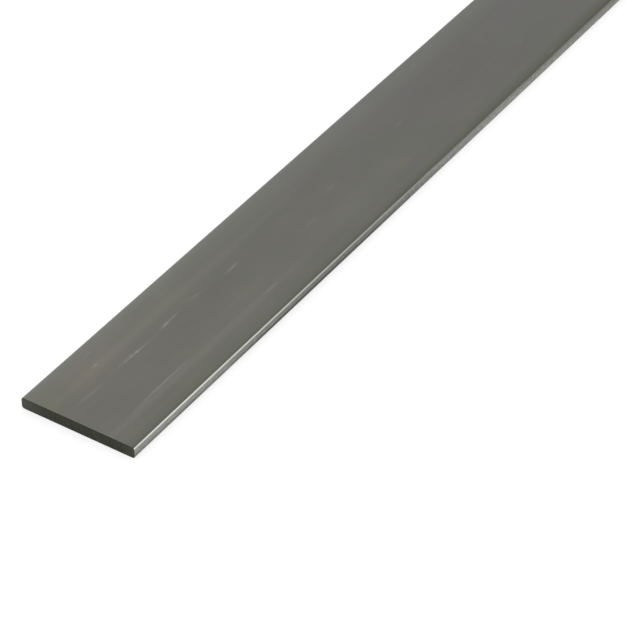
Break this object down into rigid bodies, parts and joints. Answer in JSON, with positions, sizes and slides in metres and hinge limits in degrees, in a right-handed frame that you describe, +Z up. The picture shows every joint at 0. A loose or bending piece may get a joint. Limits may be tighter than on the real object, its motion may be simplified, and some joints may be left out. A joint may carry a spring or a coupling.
{
  "type": "flat steel bar",
  "caption": "Length of rolled flat steel bar with rounded long edges and square-cut ends, for frames, brackets, straps and general fabrication.",
  "frame": {"origin": "on the plane that the bar rests on, under the middle of its length and width", "axes": "+X along the bar towards the end that the picture's edge cuts off, +Y across the bar towards the back, +Z up out of the wide upper face"},
  "size_m": [1, 0.05, 0.005],
  "materials": {
    "mill_steel": "plain rolled steel, satin grey, with fine lines and scratches along the bar and darker cut ends"
  },
  "bodies": {
    "root": {"flat_bar": "mill_steel"}
  },
  "joints": []
}
